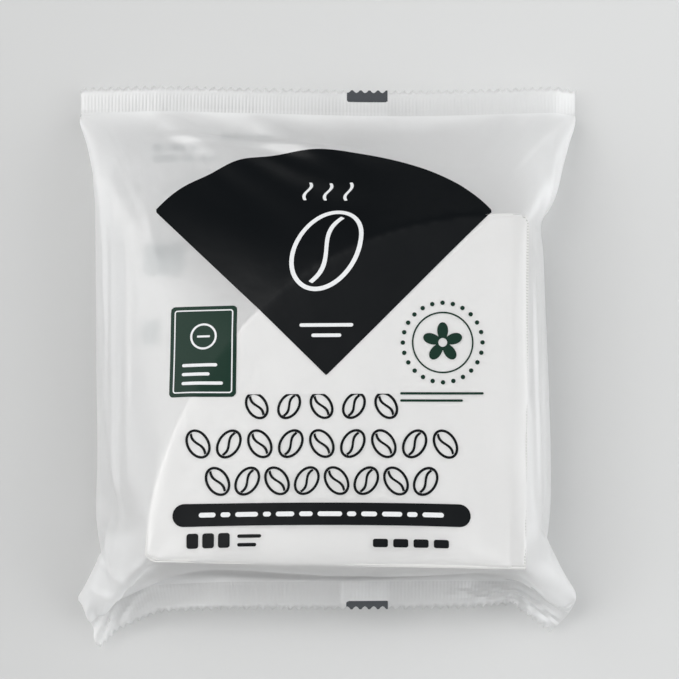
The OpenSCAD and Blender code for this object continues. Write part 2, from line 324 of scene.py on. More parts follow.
class FilmTube:
    """A flat tube of film: rows along the pouch, columns round it, the front ones first.

    p holds its points and v how far they last moved, s the columns' flat places and t the rows'.
    FLOOR is the height that the film lies at. FRONT_START, BACK_START and SEAL_START are the heights
    of the two layers and the seals at first, TOP_START that of the stack's top and GROWTH its rise.
    DAMPING is the share of its speed that the film keeps over a step. SHEAR and SEAL_BEND are how much
    of a wrong shape a step takes away in a cell and in a seal, SEAL_PULL how far a seal moves towards
    where it runs, CLEARANCE the film's distance from the stack's sides and TOP_SPEED the most that a
    point moves in a step. Film in the stack is moved sideways out of it up to SIDE_REACH from its
    side, and above UNDERSIDE on the back.
    """

    FLOOR = 0.12
    FRONT_START = 0.6
    BACK_START = 0.15
    SEAL_START = 0.4
    TOP_START = 0.2
    GROWTH = STACK_TOP - 0.13
    DAMPING = 0.96
    SHEAR = 0.6
    SEAL_BEND = 0.3
    SEAL_PULL = 0.1
    CLEARANCE = 0.35
    TOP_SPEED = 0.5
    SIDE_REACH = 3.0
    UNDERSIDE = 2.5

    def __init__(self, columns, rows, width, length, seal):
        self.columns, self.rows = columns, rows
        self.width, self.length, self.seal = width, length, seal
        self.across, self.along = width / columns, length / rows
        around = 2 * columns
        r = np.arange(around)
        self.mirror = (around - r) % around
        self.s = np.where(r <= columns, -width / 2 + r * self.across, width / 2 - (r - columns) * self.across)
        self.t = np.linspace(-length / 2, length / 2, rows + 1)
        self.front = r <= columns
        banded = np.abs(self.t) > length / 2 - seal - 1e-6
        self.low_rows = np.where(banded & (self.t < 0))[0]
        self.top_rows = np.where(banded & (self.t > 0))[0]
        self.p = np.zeros((rows + 1, around, 3))
        self.p[..., 0] = self.s
        self.p[..., 1] = self.t[:, None]
        self.p[..., 2] = np.where(self.front, self.FRONT_START, self.BACK_START)
        self.v = np.zeros_like(self.p)

    def finer(self, rows_too=True):
        """The same film with twice the columns, and rows too, on smooth curves through its points."""
        rows = self.rows * 2 if rows_too else self.rows
        made = FilmTube(self.columns * 2, rows, self.width, self.length, self.seal)
        p = self.p
        wide = np.empty((len(p), 2 * p.shape[1], 3))
        wide[:, 0::2] = p
        wide[:, 1::2] = (9 * (p + np.roll(p, -1, 1)) - (np.roll(p, 1, 1) + np.roll(p, -2, 1))) / 16
        if rows_too:
            e = np.concatenate([2 * wide[:1] - wide[1:2], wide, 2 * wide[-1:] - wide[-2:-1]])
            made.p[0::2] = wide
            made.p[1::2] = (9 * (e[1:-2] + e[2:-1]) - (e[:-3] + e[3:])) / 16
        else:
            made.p[:] = wide
        return made

    def keep_out(self, top, spread):
        """Moves the film out of the stack and off the floor, and the front over the back."""
        p, n = self.p, self.columns
        front, back = p[:, 1:n, 2], p[:, n + 1 :, 2]
        facing = back[:, ::-1]
        wrong = front < facing
        middle = 0.5 * (front + facing)
        back[:] = np.where(wrong[:, ::-1], middle[:, ::-1], back)
        front[:] = np.where(wrong, middle, front)
        d, gx, gy = stack_distance(p[..., 0], p[..., 1], spread)
        z = p[..., 2]
        room = top - z
        inside = (d < 0) & (room > 0)
        up = inside & ((-d > room) | (-d > self.SIDE_REACH)) & self.front
        side = inside & ~up & (self.front | (z > self.UNDERSIDE))
        under = (d < 0) & ~self.front & (z > self.FLOOR) & ~side
        p[..., 2] = np.where(up, top, np.where(under, self.FLOOR, z))
        p[..., 0] += np.where(side, -d * gx, 0)
        p[..., 1] += np.where(side, -d * gy, 0)
        p[..., 2] = np.maximum(p[..., 2], self.FLOOR)

    def hold_lengths(self, push, shear_push):
        """Brings every stretch of film back to its flat length, and every cell to its flat shape."""
        p = self.p
        draw_together(p[0:-1:2], p[1::2], self.along, 1.0, push)
        draw_together(p[1:-1:2], p[2::2], self.along, 1.0, push)
        draw_together(p[:, 0::2], p[:, 1::2], self.across, 1.0, push)
        b = np.roll(p[:, 0::2], -1, 1)
        draw_together(p[:, 1::2], b, self.across, 1.0, push)
        p[:, 0::2] = np.roll(b, 1, 1)
        slant = math.hypot(self.across, self.along)
        for first in (0, 1):
            low, high = p[first:-1:2], p[first + 1 :: 2]
            k = min(len(low), len(high))
            low, high = low[:k], high[:k]
            for turn in (-1, 1):
                b = np.roll(high, turn, 1)
                draw_together(low, b, slant, self.SHEAR, self.SHEAR * shear_push)
                high[:] = np.roll(b, -turn, 1)

    def hold_flat(self, bend):
        """Lets the film resist folding, and the two welded layers of a seal resist it more."""
        p, n = self.p, self.columns
        m = 0.5 * (p[:-2] + p[2:]) - p[1:-1]
        p[1:-1] += bend * m
        p[:-2] -= 0.5 * bend * m
        p[2:] -= 0.5 * bend * m
        m = 0.5 * (np.roll(p, 1, 1) + np.roll(p, -1, 1)) - p
        p += bend * m - 0.5 * bend * (np.roll(m, 1, 1) + np.roll(m, -1, 1))
        for rows in (self.low_rows, self.top_rows):
            q = p[rows]
            q = 0.5 * (q + q[:, self.mirror])
            m = 0.5 * (q[:, 0 : n - 1] + q[:, 2 : n + 1]) - q[:, 1:n]
            q[:, 1:n] += self.SEAL_BEND * m
            q[:, 0 : n - 1] -= 0.5 * self.SEAL_BEND * m
            q[:, 2 : n + 1] -= 0.5 * self.SEAL_BEND * m
            q[:, n + 1 :] = q[:, self.mirror[n + 1 :]]
            p[rows] = q

    def draw_seals(self, share):
        """Draws the two seals towards where they run; share is how far the stack has grown."""
        s = self.s[: self.columns + 1]
        for run, rows in ((LOW_SEAL_RUN, self.low_rows), (TOP_SEAL_RUN, self.top_rows)):
            run = np.array(run)
            for j in rows:
                w = min(1.0, (self.length / 2 - abs(self.t[j])) / self.seal)
                line = run[:, 1:4] * (1 - w) + run[:, 4:7] * w
                goal = np.stack([np.interp(s, run[:, 0], line[:, k]) for k in range(3)], -1)
                flat = np.stack([s, np.full_like(s, self.t[j]), np.full_like(s, self.SEAL_START)], -1)
                q = self.p[j, : self.columns + 1]
                q += self.SEAL_PULL * (flat * (1 - share) + goal * share - q)
                self.p[j, self.columns + 1 :] = self.p[j, self.mirror[self.columns + 1 :]]

    def settle(self, steps, grow, bend, push, shear_push, weight, air):
        """Steps the film; grow(k) is the stack's share of its height at step k.

        push and shear_push are how hard the film's lengths and slants resist being pressed shorter.
        """
        for k in range(steps):
            share = grow(k)
            v = self.DAMPING * self.v
            v[..., 2] -= weight
            before = self.p.copy()
            self.p += v + air * film_normals(self.p)
            self.hold_lengths(push, shear_push)
            self.hold_flat(bend)
            self.draw_seals(share)
            self.keep_out(self.TOP_START + self.GROWTH * share, self.CLEARANCE)
            self.v = self.p - before
            pace = np.sqrt((self.v**2).sum(-1, keepdims=True))
            self.v *= np.minimum(1, self.TOP_SPEED / (pace + 1e-9))


def settled_film(sizes):
    """The film tube settled round the stack, first coarse while the stack grows, then finer."""
    width, length, seal = (v / MM for v in (sizes.flat_width, sizes.flat_length, sizes.seal_width))
    chance = np.random.default_rng(7)
    film = FilmTube(columns=36, rows=42, width=width, length=length, seal=seal)
    film.p[..., 2] += chance.uniform(0, 0.2, film.p.shape[:2])
    steps = sizes.steps

    def growing(k):
        """The stack's share of its height; it is grown after seven tenths of the steps."""
        return min(1.0, (k + 1) / (0.7 * steps))

    film.settle(steps, growing, bend=0.05, push=0.35, shear_push=0.2 / 0.6, weight=0.0006, air=sizes.air)
    for more, bend, tremble, weight, air in (
        (700, 0.03, 0.15, 0.0003, 0.7 * sizes.air),
        (300, 0.04, 0.05, 0.0001, 0.3 * sizes.air),
    ):
        film = film.finer()
        film.p[..., 2] += chance.uniform(-tremble, tremble, film.p.shape[:2])
        more = more
        film.settle(more, lambda k: 1.0, bend, push=1.0, shear_push=1.0, weight=weight, air=air)
    film = film.finer(rows_too=False)
    film.keep_out(top=STACK_TOP + 0.07, spread=0.1)
    return film


def raised_folds(film):
    """How far the soft folds push out the points of the front film."""
    across = np.linspace(-film.width / 2, film.width / 2, film.columns + 1)
    gx, gy = np.meshgrid(across, film.t)
    push = np.zeros_like(gx)
    for x0, y0, x1, y1, height, half in FRONT_FOLDS:
        run = math.hypot(x1 - x0, y1 - y0)
        along = ((gx - x0) * (x1 - x0) + (gy - y0) * (y1 - y0)) / run**2
        off = ((gx - x0) * (y1 - y0) - (gy - y0) * (x1 - x0)) / run
        push += height * np.clip(4 * along * (1 - along), 0, 1) * np.exp(-((off / half) ** 2))
    side = np.clip((film.width / 2 - np.abs(gx)) / 4, 0, 1)
    end = np.clip((film.length / 2 - film.seal - np.abs(gy)) / 4, 0, 1)
    return push * side * end


def dressed_film(film, sizes):
    """Film points with soft folds, the two layers of the seals apart, crimp ribs and toothed cuts."""
    p = film.p.copy()
    n = film.columns
    p[:, : n + 1] += raised_folds(film)[..., None] * film_normals(p)[:, : n + 1]
    depth = sizes.crimp_depth / MM
    tooth = sizes.tooth_height / MM
    column = np.arange(n + 1)
    rib = np.where(column % 2 == 0, 1.0, -1.0)
    phase = (column % sizes.tooth_columns) / sizes.tooth_columns
    # Each tooth has sloping sides and a nearly flat tip
    teeth = np.clip(1.25 - np.abs(2 * phase - 1) * 1.6, 0, 1)
    face = p[:, : n + 1]
    for rows, end, inward in ((film.low_rows, 0, 1), (film.top_rows, film.rows, -1)):
        along = face[end + inward] - face[end]
        along /= np.linalg.norm(along, axis=-1, keepdims=True)
        for j in rows:
            line = face[j]
            smooth = np.copy(line)
            smooth[2:-2] = (line[:-4] + line[1:-3] + line[2:-2] + line[3:-1] + line[4:]) / 5
            across = np.gradient(smooth, axis=0)
            up = np.cross(across, along * inward)
            up /= np.linalg.norm(up, axis=-1, keepdims=True) + 1e-9
            up *= np.sign(up[:, 2:3] + 1e-9)
            far = film.length / 2 - abs(film.t[j])
            ribbed = 1.0 if PLAIN_AT_CUT < far < film.seal - PLAIN_INSIDE else 0.0
            lifted = line + up * (0.5 * depth * rib[:, None] * ribbed)
            p[j, : n + 1] = lifted + up * HALF_SEAL
            p[j, n + 1 :] = (lifted - up * HALF_SEAL)[film.mirror[n + 1 :]]
        out = -along * tooth * teeth[:, None]
        p[end, : n + 1] += out
        p[end, n + 1 :] += out[film.mirror[n + 1 :]]
    return p


def film_normals(p):
    """Outward directions of the film at its points."""
    across = np.roll(p, -1, 1) - np.roll(p, 1, 1)
    along = np.gradient(p, axis=0)
    n = np.cross(across, along)
    return n / (np.linalg.norm(n, axis=-1, keepdims=True) + 1e-12)


def new_mesh_object(name, points, faces, smooth=True):
    """A mesh object at the origin; points are in millimetres."""
    mesh = bpy.data.meshes.new(name)
    mesh.from_pydata((np.asarray(points) * MM).tolist(), [], [tuple(f) for f in np.asarray(faces).tolist()])
    mesh.validate()
    mesh.update()
    if smooth:
        mesh.shade_smooth()
    made = bpy.data.objects.new(name, mesh)
    bpy.context.scene.collection.objects.link(made)
    return made


def film_grid():
    """The points of the settled pouch as rows and columns, in millimetres, and its flat places."""
    pouch = bpy.data.objects.get("pouch_film")
    if pouch is None:
        raise RuntimeError("Settle the film pouch first")
    rows, columns = pouch["rows"], pouch["columns"]
    co = np.empty(len(pouch.data.vertices) * 3)
    pouch.data.vertices.foreach_get("co", co)
    p = co.reshape(rows + 1, 2 * columns, 3) / MM
    sizes = bpy.context.scene.filter_pouch
    width, length = sizes.flat_width / MM, sizes.flat_length / MM
    s = np.linspace(-width / 2, width / 2, columns + 1)
    t = np.linspace(-length / 2, length / 2, rows + 1)
    return p, s, t


# finishes


def new_finish(name):
    """An empty node material and its node tree."""
    finish = bpy.data.materials.new(name)
    finish.use_nodes = True
    finish.node_tree.nodes.clear()
    return finish, finish.node_tree


def give(tree, socket, value):
    """Joins another node's output to the socket, or gives the socket a plain value."""
    if isinstance(value, bpy.types.NodeSocket):
        tree.links.new(value, socket)
    else:
        socket.default_value = value


def new_node(tree, kind, **values):
    """A node with the given values on its own sockets."""
    made = tree.nodes.new(kind)
    for name, value in values.items():
        give(tree, made.inputs[name.replace("_", " ")], value)
    return made


def show(tree, shader):
    """Makes the shader the surface of the material."""
    new_node(tree, "ShaderNodeOutputMaterial", Surface=shader)


def surface(tree, colour, roughness, specular, **normal):
    """Gives the material a surface of this colour, roughness and gloss."""
    made = new_node(tree, "ShaderNodeBsdfPrincipled", Base_Color=colour, Roughness=roughness, **normal)
    give(tree, made.inputs["Specular IOR Level"], specular)
    show(tree, made.outputs["BSDF"])


def fine_noise(tree, scale, detail, stretch=(1, 1, 1)):
    """Noise over the piece's own place, scale in waves to the metre."""
    place = tree.nodes.new("ShaderNodeTexCoord").outputs["Object"]
    laid = new_node(tree, "ShaderNodeMapping", Vector=place, Scale=stretch).outputs["Vector"]
    return new_node(tree, "ShaderNodeTexNoise", Vector=laid, Scale=scale, Detail=detail).outputs["Fac"]


def bumped(tree, height, strength, distance, **below):
    """The direction of a surface with a bump from a height, on top of another where one is given."""
    bump = new_node(tree, "ShaderNodeBump", Height=height, Strength=strength, Distance=distance, **below)
    return bump.outputs["Normal"]


def shaded(colour, share):
    """A colour made darker or lighter, as the four numbers of a socket."""
    return tuple(min(1.0, share * v) for v in colour) + (1,)


def ranged(tree, value, low, high, start=0.0, end=1.0):
    """A value that runs from start to end, brought to the range low to high."""
    ends = {"From_Min": start, "From_Max": end, "To_Min": low, "To_Max": high}
    return new_node(tree, "ShaderNodeMapRange", Value=value, **ends).outputs["Result"]


def worked_out(tree, operation, *values):
    """A number worked out from sockets and plain numbers."""
    made = tree.nodes.new("ShaderNodeMath")
    made.operation = operation
    for socket, value in zip(made.inputs, values):
        give(tree, socket, value)
    return made.outputs["Value"]


def tinted(tree, share, first, second):
    """A colour between two."""
    made = tree.nodes.new("ShaderNodeMix")
    made.data_type = "RGBA"
    for name, value in (("Factor", share), ("A", first), ("B", second)):
        give(tree, made.inputs[name], value)
    return made.outputs["Result"]


def mixed(tree, share, first, second):
    """Two shaders mixed by a share."""
    made = tree.nodes.new("ShaderNodeMixShader")
    for socket, value in zip(made.inputs, (share, first, second)):
        give(tree, socket, value)
    return made.outputs["Shader"]


def film_finish(name, haziness, look):
    """Thin clear film that scatters a part of the light, back and onwards, with a soft gloss."""
    finish, tree = new_finish(name)
    wave = bumped(tree, fine_noise(tree, 60, 3), 0.5, 0.0006)
    grain = bumped(tree, fine_noise(tree, 900, 2), 0.35, 0.00004, Normal=wave)
    white = (1, 1, 1, 1)
    milk = (0.99, 0.992, 0.994, 1)
    clear = new_node(tree, "ShaderNodeBsdfTransparent", Color=(0.996, 0.997, 0.998, 1))
    blur = new_node(tree, "ShaderNodeBsdfGlass", Color=white, Roughness=0.62, IOR=1.12)
    blur.distribution = "MULTI_GGX"
    onward = new_node(tree, "ShaderNodeBsdfTranslucent", Color=milk)
    back = new_node(tree, "ShaderNodeBsdfDiffuse", Color=milk, Normal=grain)
    gloss = new_node(tree, "ShaderNodeBsdfGlossy", Color=white, Roughness=0.3, Normal=grain)
    edge = new_node(tree, "ShaderNodeLayerWeight", Blend=0.35, Normal=wave)
    haze_share = ranged(tree, edge.outputs["Facing"], haziness, min(1.0, haziness + 0.08))
    # A film reflects alike from both sides, so its gloss follows the angle alone
    slant = new_node(tree, "ShaderNodeLayerWeight", Blend=0.5, Normal=grain)
    sheen = worked_out(tree, "POWER", slant.outputs["Facing"], 4.0)
    gloss_share = ranged(tree, sheen, 0.075, 0.9)
    through = mixed(tree, look.blur, clear.outputs["BSDF"], blur.outputs["BSDF"])
    haze = mixed(tree, 0.5, onward.outputs["BSDF"], back.outputs["BSDF"])
    body = mixed(tree, haze_share, through, haze)
    show(tree, mixed(tree, gloss_share, body, gloss.outputs["BSDF"]))
    return finish


def painted_crimp_shade(tree):
    """How much painted shade darkens the paper: nought beside the seam of the top filter, and up to one in
    the crimp lines across it.
    """
    place = tree.nodes.new("ShaderNodeTexCoord").outputs["Object"]
    corner = (STACK_CORNER[0] * MM, STACK_CORNER[1] * MM, 0)
    laid = new_node(tree, "ShaderNodeMapping", Vector=place, Location=corner, Rotation=(0, 0, STACK_TURN))
    laid.vector_type = "TEXTURE"
    parts = new_node(tree, "ShaderNodeSeparateXYZ", Vector=laid.outputs["Vector"])
    start, end = (0.3 - SEAM_BAND) * MM, (0.7 - SEAM_BAND) * MM
    band = ranged(tree, parts.outputs["X"], 0.0, 1.0, start, end)
    band.node.interpolation_type = "SMOOTHSTEP"
    turn = 2 * math.pi / CRIMP_PITCH
    start = math.pi / 2 - turn * CRIMP_START
    wave = worked_out(tree, "SINE", worked_out(tree, "MULTIPLY_ADD", parts.outputs["Y"], turn / MM, start))
    return worked_out(tree, "MULTIPLY", worked_out(tree, "MAXIMUM", wave, 0.0), band)


def paper_finish(name, look, crimp_shaded=False):
    """Creped white filter paper, with painted shade in the crimp lines of its seam where that shows."""
    finish, tree = new_finish(name)
    cloud = fine_noise(tree, 90, 4)
    crepe = fine_noise(tree, 420, 3, (1, 4.5, 1))
    fibre = fine_noise(tree, 2600, 2)
    shown = tinted(tree, cloud, shaded(look.paper, 0.965), shaded(look.paper, 1.03))
    if crimp_shaded:
        # The crimp lines are painted darker: painted shade in the grooves of the seam
        shown = tinted(tree, painted_crimp_shade(tree), shown, shaded(look.paper, 0.72))
    low = bumped(tree, crepe, look.crepe, 0.00012)
    top = bumped(tree, fibre, look.crepe * 0.6, 0.00003, Normal=low)
    surface(tree, shown, roughness=0.88, specular=0.25, Normal=top)
    return finish


def ink_finish(name, colour, roughness=0.3):
    """Gloss ink on film, with the film's slow waves and a slight unevenness."""
    finish, tree = new_finish(name)
    broad = fine_noise(tree, 60, 3)
    shown = tinted(tree, fine_noise(tree, 1500, 2), shaded(colour, 0.9), shaded(colour, 1.12))
    uneven = ranged(tree, broad, roughness - 0.04, roughness + 0.06)
    surface(tree, shown, uneven, specular=0.14, Normal=bumped(tree, broad, 0.5, 0.0006))
    return finish


# print on the film


class FrontFace:
    """Places on the front over the stack, in millimetres, and their flat places on the film."""

    def __init__(self, p, s, t):
        face = p[:, : len(s)]
        d, _, _ = stack_distance(face[..., 0], face[..., 1], 0.0)
        # Film that lies on the stack's top, well inside its outline
        on_top = (d < -12) & (np.abs(face[..., 2] - STACK_TOP) < 0.5)
        tt, ss = np.meshgrid(t, s, indexing="ij")
        known = np.stack([face[..., 0][on_top], face[..., 1][on_top], np.ones(on_top.sum())], -1)
        flat = np.stack([ss[on_top], tt[on_top]], -1)
        self.to_flat, *_ = np.linalg.lstsq(known, flat, rcond=None)
        self.to_face = np.linalg.inv(np.vstack([self.to_flat.T, [0, 0, 1]]))

    def field(self, shape):
        """The shape's distances at flat places."""
        (a, b, c), (d, e, f), _ = self.to_face
        return lambda x, y: shape(a * x + b * y + c, d * x + e * y + f)

    def box(self, x0, y0, x1, y1):
        """The flat box round a box on the front, with a millimetre to spare."""
        corners = np.array([np.array([x, y, 1.0]) @ self.to_flat for x in (x0, x1) for y in (y0, y1)])
        return (*(corners.min(0) - 1), *(corners.max(0) + 1))


def lifted_points(p, s, t, flat, lift, side="front"):
    """Points over the film at flat places (n, 2), a little outside it."""
    columns = len(s) - 1
    normals = film_normals(p)
    if side == "front":
        face, out = p[:, : columns + 1], normals[:, : columns + 1]
    else:
        order = np.concatenate([[0], np.arange(2 * columns - 1, columns - 1, -1)])
        face, out = p[:, order], normals[:, order]
    x = np.clip((flat[:, 0] - s[0]) / (s[1] - s[0]), 0, columns - 1e-6)
    y = np.clip((flat[:, 1] - t[0]) / (t[1] - t[0]), 0, len(t) - 1 - 1e-6)
    i, j = x.astype(int), y.astype(int)
    fx, fy = (x - i)[:, None], (y - j)[:, None]

    def between(a):
        """The values of a between the grid's points."""
        near = a[j, i] * (1 - fx) + a[j, i + 1] * fx
        far = a[j + 1, i] * (1 - fx) + a[j + 1, i + 1] * fx
        return near * (1 - fy) + far * fy

    n = between(out)
    n /= np.linalg.norm(n, axis=-1, keepdims=True) + 1e-12
    return between(face) + lift * n


def grid_quads(rows, columns):
    """The four point numbers of each cell of a grid of points."""
    ids = np.arange(rows * columns).reshape(rows, columns)
    corners = (ids[:-1, :-1], ids[:-1, 1:], ids[1:, 1:], ids[1:, :-1])
    return np.stack([corner.ravel() for corner in corners], -1)


def cut_from_field(sx, sy, depth):
    """Flat points and triangles of the part of a grid where depth is below nought."""
    gx, gy = np.meshgrid(sx, sy)
    flat = np.stack([gx.ravel(), gy.ravel()], -1)
    f = depth.ravel()
    quads = grid_quads(len(sy), len(sx))
    tris = np.concatenate([quads[:, [0, 1, 2]], quads[:, [0, 2, 3]]])
    inside = f[tris] < 0
    count = inside.sum(1)
    kept = [tris[count == 3]]
    edges, pieces = [], []

    def cut(u, v):
        """Number of the point where the edge from u to v leaves the field."""
        edges.append(np.stack([np.minimum(u, v), np.maximum(u, v)], -1))
        return len(edges) - 1

    one, two = tris[count == 1], tris[count == 2]
    for turn in range(3):
        m = one[inside[count == 1][:, turn]]
        if len(m):
            m = np.roll(m, -turn, 1)
            pieces.append((m[:, 0], cut(m[:, 0], m[:, 1]), cut(m[:, 0], m[:, 2]), None))
        m = two[~inside[count == 2][:, turn]]
        if len(m):
            m = np.roll(m, -turn, 1)
            pieces.append((m[:, 1], m[:, 2], cut(m[:, 0], m[:, 2]), cut(m[:, 0], m[:, 1])))
    if edges:
        sizes = np.cumsum([0] + [len(e) for e in edges])
        keys, back = np.unique(np.concatenate(edges), axis=0, return_inverse=True)
        back = back.ravel()
        share = (f[keys[:, 0]] / (f[keys[:, 0]] - f[keys[:, 1]]))[:, None]
        extra = flat[keys[:, 0]] * (1 - share) + flat[keys[:, 1]] * share
        number = [back[sizes[k] : sizes[k + 1]] + len(flat) for k in range(len(edges))]
        for q in pieces:
            if q[3] is None:
                kept.append(np.stack([q[0], number[q[1]], number[q[2]]], -1))
            else:
                kept.append(np.stack([q[0], q[1], number[q[2]]], -1))
                kept.append(np.stack([q[0], number[q[2]], number[q[3]]], -1))
        flat = np.concatenate([flat, extra])
    tris = np.concatenate(kept)
    used, tris = np.unique(tris, return_inverse=True)
    return flat[used], tris.reshape(-1, 3)


def printed(name, grid, field, box, step, lift, finish, side="front"):
    """An ink piece: field gives the distance to its outline at flat places, box bounds it.

    It is cut from a grid with the given step, or from the film's own grid where there is none.
    """
    p, s, t = grid
    if step is None:
        sx = s[(s >= box[0]) & (s <= box[2])]
        sy = t[(t >= box[1]) & (t <= box[3])]
    else:
        sx = np.arange(box[0], box[2] + step, step)
        sy = np.arange(box[1], box[3] + step, step)
    gx, gy = np.meshgrid(sx, sy)
    flat, tris = cut_from_field(sx, sy, field(gx, gy))
    if side == "back":
        tris = tris[:, ::-1]
    made = new_mesh_object(name, lifted_points(p, s, t, flat, lift, side), tris)
    made.data.materials.append(finish)
    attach(made, "root")
    return made


# flat shapes as distances to their outline


def bar(x, y, x0, y0, x1, y1, r=None):
    """A rounded bar or box between two corners."""
    r = min(abs(x1 - x0), abs(y1 - y0)) / 2 if r is None else r
    dx = np.abs(x - (x0 + x1) / 2) - abs(x1 - x0) / 2 + r
    dy = np.abs(y - (y0 + y1) / 2) - abs(y1 - y0) / 2 + r
    return np.hypot(np.maximum(dx, 0), np.maximum(dy, 0)) + np.minimum(np.maximum(dx, dy), 0) - r


def bean_line(x, y, cx, cy, a, b, turn, thick):
    """A coffee bean drawn in line: an oval ring with its waved middle line."""
    c, s = math.cos(turn), math.sin(turn)
    u, v = (x - cx) * c + (y - cy) * s, (y - cy) * c - (x - cx) * s
    k = np.hypot(u / a, v / b) + 1e-9
    oval = k * (k - 1) / (np.hypot(u / a**2, v / b**2) + 1e-9)
    ring = np.abs(oval) - thick / 2
    wave = np.abs(v - 0.22 * b * np.sin(u / a * math.pi)) - thick / 2
    return np.minimum(ring, np.maximum(wave, np.abs(u) - 0.86 * a))


def union(*fields):
    """The distances to some shapes together."""
    return functools.reduce(np.minimum, fields)


# the print's fields and marks, at places on the front over the stack in millimetres


def fan(x, y, point, radius):
    """A quarter disc with its point down, whose rim falls off to both sides."""
    u, v = x - point[0], y - point[1]
    lean = np.arctan2(u, v) / (math.pi / 4)
    rim = radius - 6.5 * lean**2 - 2.5 * lean
    return np.maximum(np.hypot(u, v) - rim, (np.abs(u) - v) * math.sqrt(0.5))


def fan_marks(x, y, point):
    """A bean under three waves of steam, over two short bars."""
    ax, ay = point
    u, v = x - ax, y - ay
    bean = bean_line(x, y, ax, ay + 44, 15.5, 10.5, math.radians(62), 1.5)
    steam = [
        np.maximum(np.abs(u - k * 7.0 - 1.2 * np.sin(v * 0.55)) - 0.55, np.abs(v - 68.5) - 4.5)
        for k in (-1, 0, 1)
    ]
    long_bar = bar(x, y, ax - 9, ay + 16.5, ax + 9, ay + 17.7)
    short_bar = bar(x, y, ax - 5, ay + 13, ax + 5, ay + 14.2)
    return union(bean, long_bar, short_bar, *steam)


def label(x, y):
    """A plate with round corners."""
    return bar(x, y, -53.3, -15.6, -30.6, 15.8, 1.4)


def label_marks(x, y):
    """The plate's inner line, a ring with a dash in it and three bars."""
    border = np.abs(bar(x, y, -51.8, -14.1, -32.1, 14.3, 0.8)) - 0.22
    ring = np.abs(np.hypot(x + 41.9, y - 5.2) - 4.2) - 0.35
    dash = np.maximum(np.abs(y - 5.2) - 0.35, np.abs(x + 41.9) - 2.2)
    rows = [bar(x, y, -49, low, -49 + w, low + 1.1) for low, w in ((-11.5, 14.0), (-8.4, 9.5), (-5.3, 12.0))]
    return union(border, ring, dash, *rows)


def badge(x, y):
    """A flower of five petals in a ring, with dots round it and two bars under it."""
    cx, cy = BADGE_MIDDLE
    u, v = x - cx, y - cy
    away, angle = np.hypot(u, v), np.arctan2(u, v)
    ring = np.abs(away - 10.1) - 0.27
    petals = away - 2.2 - 4.6 * np.abs(np.cos(2.5 * angle))
    flower = np.maximum(petals, 1.5 - away)
    nearest = np.round(angle / DOT_ANGLE) * DOT_ANGLE
    dots = np.hypot(u - 13.4 * np.sin(nearest), v - 13.4 * np.cos(nearest)) - 0.75
    left = cx - 14.4
    rows = [bar(x, y, left, low, left + w, low + 0.8) for low, w in ((-14.9, 28.0), (-17.3, 21.0))]
    return union(ring, flower, dots, *rows)


def title(x, y):
    """Three rows of beans, which lean to one side and the other in turn."""
    beans = []
    for y0, x_from, x_to, count, size in (
        (-18.6, -29.0, 24.7, 5, 4.0),
        (-31.4, -48.0, 44.0, 9, 4.3),
        (-43.9, -41.0, 37.0, 8, 4.3),
    ):
        pitch = (x_to - x_from) / count
        for k in range(count):
            lean = math.radians(58 if k % 2 else 122)
            x0 = x_from + (k + 0.5) * pitch
            beans.append(bean_line(x, y, x0, y0, 1.12 * size, 0.78 * size, lean, 0.85))
    return union(*beans)


def pill(x, y):
    """A long bar with round ends."""
    return bar(x, y, -50.6, -58.9, 46.7, -51.3)


def dashes(x, y, x0, y0, widths, height, gap, r=None):
    """A row of bars of some widths, from its lower left corner."""
    row = []
    for w in widths:
        row.append(bar(x, y, x0, y0, x0 + w, y0 + height, r))
        x0 += w + gap
    return union(*row)


def pill_marks(x, y):
    """The dashes in the long bar."""
    widths = (5.5, 3.2, 7.4, 2.6, 6.0, 4.4, 8.0, 3.0, 5.2, 6.6, 3.4, 7.0)
    return dashes(x, y, -42.0, -55.9, widths, 1.6, 1.6)


def small_bars(x, y):
    """The small blocks and bars under the long bar."""
    blocks = dashes(x, y, -45.8, -66.2, 3 * (3.8,), 5.0, 1.3, 0.9)
    notes = [bar(x, y, -29.4, low, -29.4 + w, low + 1.2) for low, w in ((-63.0, 7.8), (-65.9, 6.2))]
    right = dashes(x, y, 14.7, -66.2, 4 * (4.9,), 2.8, 1.7, 0.7)
    return union(blocks, *notes, right)


def back_rows_and_shade_blocks(x, y):
    """The rows of print and the two dark blocks on the back film, at flat places; the blocks are partly back
    print and partly painted shadow seen through the film.
    """
    rows = [
        dashes(x, y, x0, y0, widths, 1.6, 1.4)
        for y0, x0, widths in (
            (82.0, -38.0, (7.0, 3.0, 6.0)),
            (78.0, -62.0, (4.0, 6.5, 2.5)),
            (74.0, -62.0, (9.0, 5.0, 7.0)),
        )
    ]
    # The two blocks are dark patches that stand partly for print and partly for painted shadow
    return union(*rows, bar(x, y, -64, 33, -50, 44, 1.5), bar(x, y, -64, 8, -58, 17, 1.2))


# stage


def lay_floor(look):
    """A pale floor with painted shading: a little darker at the left of the pack than at the right."""
    finish, tree = new_finish("floor_with_painted_shading")
    place = tree.nodes.new("ShaderNodeTexCoord").outputs["Object"]
    parts = new_node(tree, "ShaderNodeSeparateXYZ", Vector=place)
    # Painted shading across the floor, darker to the left and lighter to the right
    across = ranged(tree, parts.outputs["X"], 0.0, 1.0, -0.12, 0.12)
    shade = tinted(tree, across, shaded(look.floor, 0.93), shaded(look.floor, 1.06))
    surface(tree, shade, roughness=0.75, specular=0.2)
    corners = np.array([(-1, -1, 0), (1, -1, 0), (1, 1, 0), (-1, 1, 0)]) * FLOOR_HALF / MM
    floor = new_mesh_object("floor", corners, [(0, 1, 2, 3)], False)
    floor.data.materials.append(finish)


